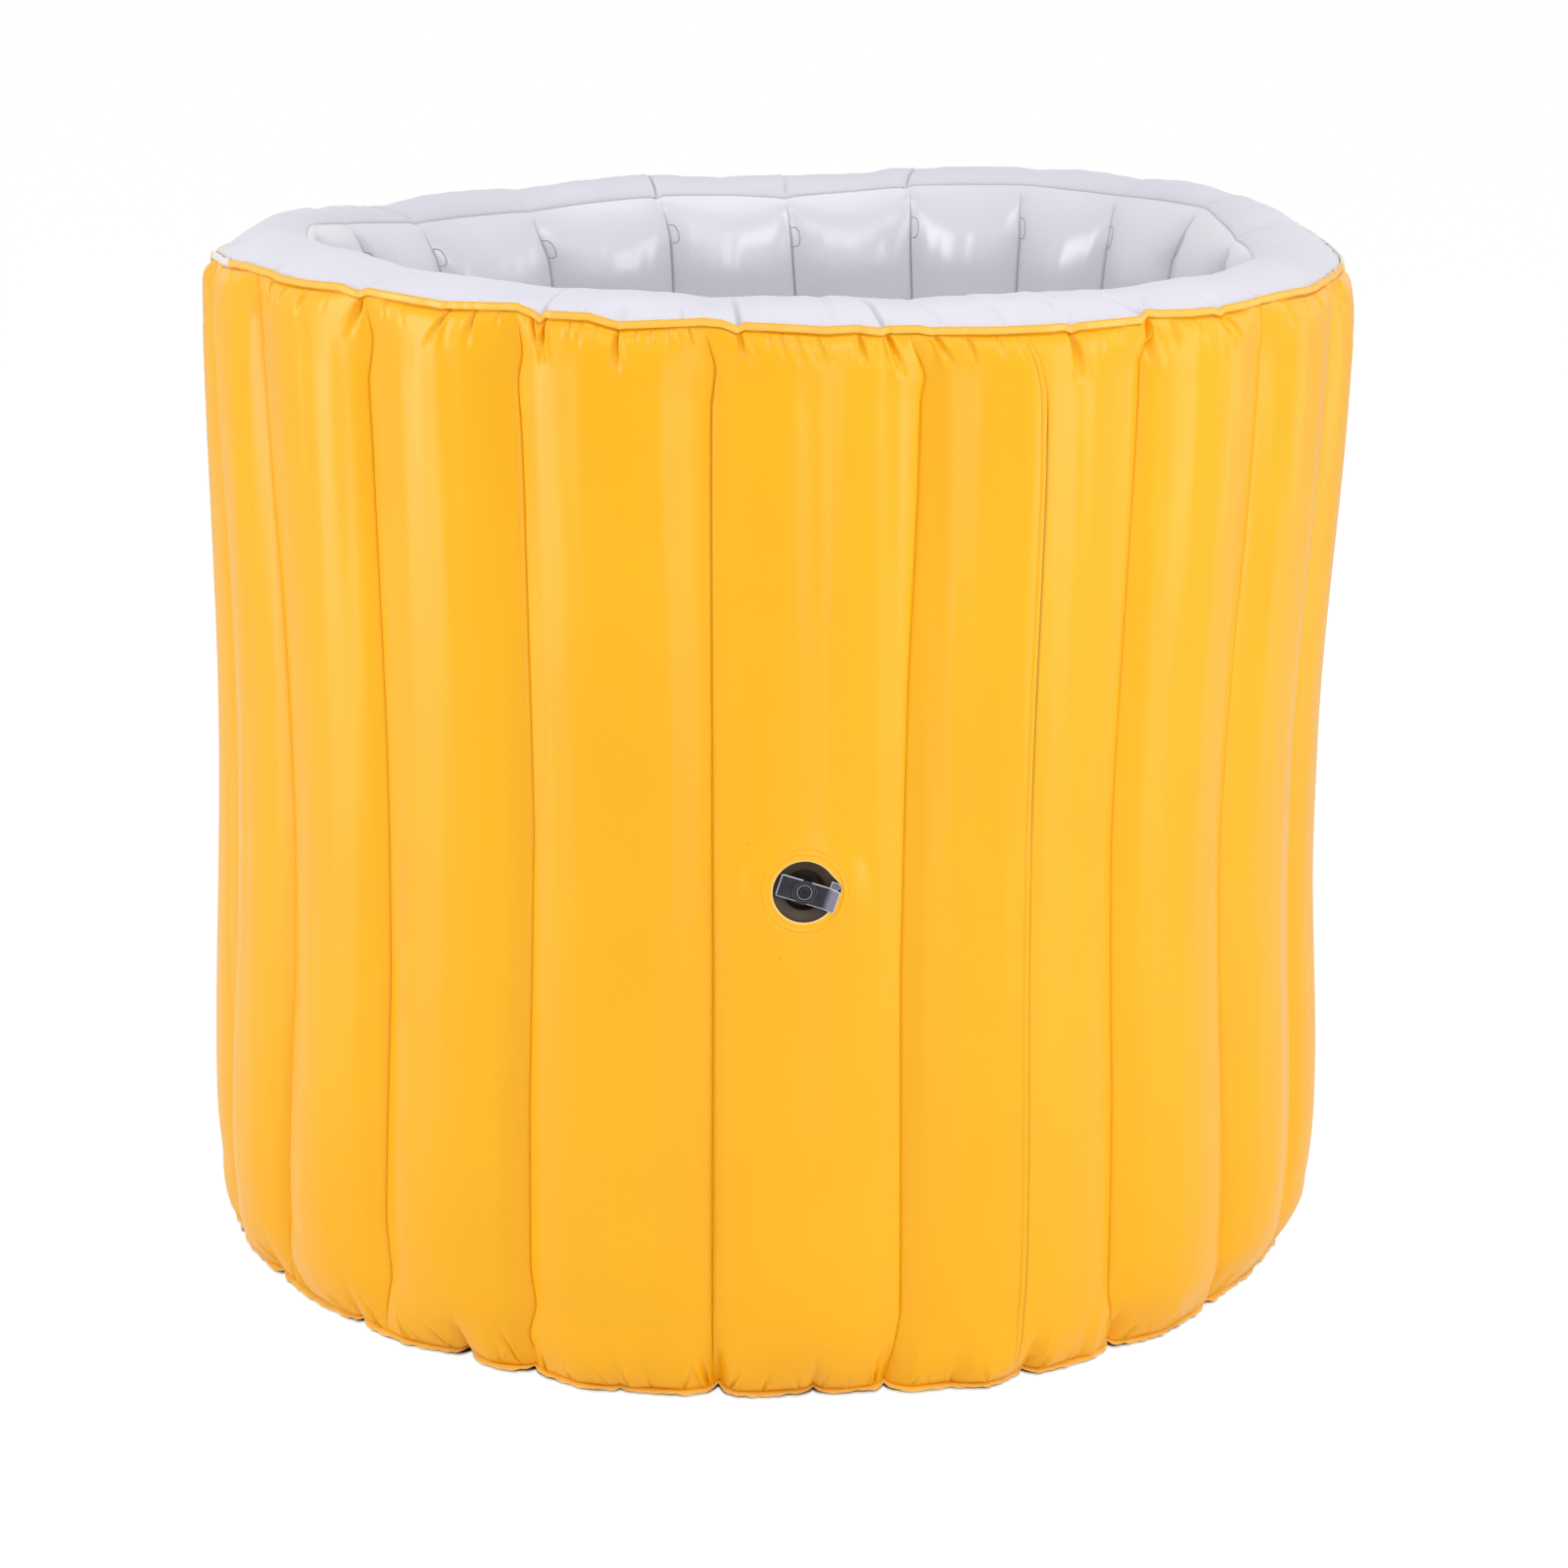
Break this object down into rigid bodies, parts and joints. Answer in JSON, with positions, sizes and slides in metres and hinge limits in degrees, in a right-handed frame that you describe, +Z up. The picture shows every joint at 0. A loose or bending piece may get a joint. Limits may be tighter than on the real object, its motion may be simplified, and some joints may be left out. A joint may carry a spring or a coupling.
{
  "type": "inflatable bathtub",
  "caption": "Round free-standing inflatable bathtub: a wall of upright air channels round a soaking basin, with a front air valve and a floor drain plug.",
  "frame": {"origin": "middle of the flat underside, on the floor", "axes": "+Z up; -Y is the front with the air valve, +X to its right seen from the front"},
  "size_m": [0.8225, 0.8224, 0.75],
  "materials": {
    "yellow_sheet": "satin coated sheet, golden yellow",
    "grey_sheet": "glossy coated sheet, lavender grey",
    "pale_grey_sheet": "satin coated sheet, pale lavender grey",
    "smoked_plastic": "smoky brown-black moulded plastic",
    "clear_plastic": "clear moulded plastic",
    "soft_dark_plastic": "soft dark grey plastic, satin",
    "rubber": "matt",
    "spring_steel": "bright wire"
  },
  "bodies": {
    "tub": {"outer_skin": "yellow_sheet", "inner_skin": "grey_sheet", "top_panel": "pale_grey_sheet", "bottom_sheet": "grey_sheet", "baffle_01": "grey_sheet", "baffle_02": "grey_sheet", "baffle_03": "grey_sheet", "baffle_04": "grey_sheet", "baffle_05": "grey_sheet", "baffle_06": "grey_sheet", "baffle_07": "grey_sheet", "baffle_08": "grey_sheet", "baffle_09": "grey_sheet", "baffle_10": "grey_sheet", "baffle_11": "grey_sheet", "baffle_12": "grey_sheet", "baffle_13": "grey_sheet", "baffle_14": "grey_sheet", "baffle_15": "grey_sheet", "baffle_16": "grey_sheet", "baffle_17": "grey_sheet", "baffle_18": "grey_sheet", "baffle_19": "grey_sheet", "baffle_20": "grey_sheet", "baffle_21": "grey_sheet", "valve_flange": "soft_dark_plastic", "valve_body": "smoked_plastic", "valve_lug": "clear_plastic", "drain_fitting": "soft_dark_plastic"},
    "valve_key": {"valve_wing": "clear_plastic", "valve_spring": "spring_steel"},
    "valve_push": {"valve_stem": "smoked_plastic", "valve_seal": "rubber", "valve_washer": "smoked_plastic"},
    "plug": {"drain_plug": "rubber"}
  },
  "joints": [
    {"name": "wing_turn", "type": "hinge", "parent": "tub", "child": "valve_key", "pos_m": [0.02543, -0.406, 0.364], "axis": [-0.0625, 0.998, 0], "range_deg": [0, 90]},
    {"name": "valve_press", "type": "slide", "parent": "valve_key", "child": "valve_push", "axis": [-0.0625, 0.998, 0], "range_m": [0, 0.003], "stiffness_N_per_m": 300, "springref_m": -0.002, "deforming": ["valve_spring"]},
    {"name": "drain_plug_lift", "type": "slide", "parent": "tub", "child": "plug", "axis": [0, 0, 1], "range_m": [0, 0.03]}
  ]
}
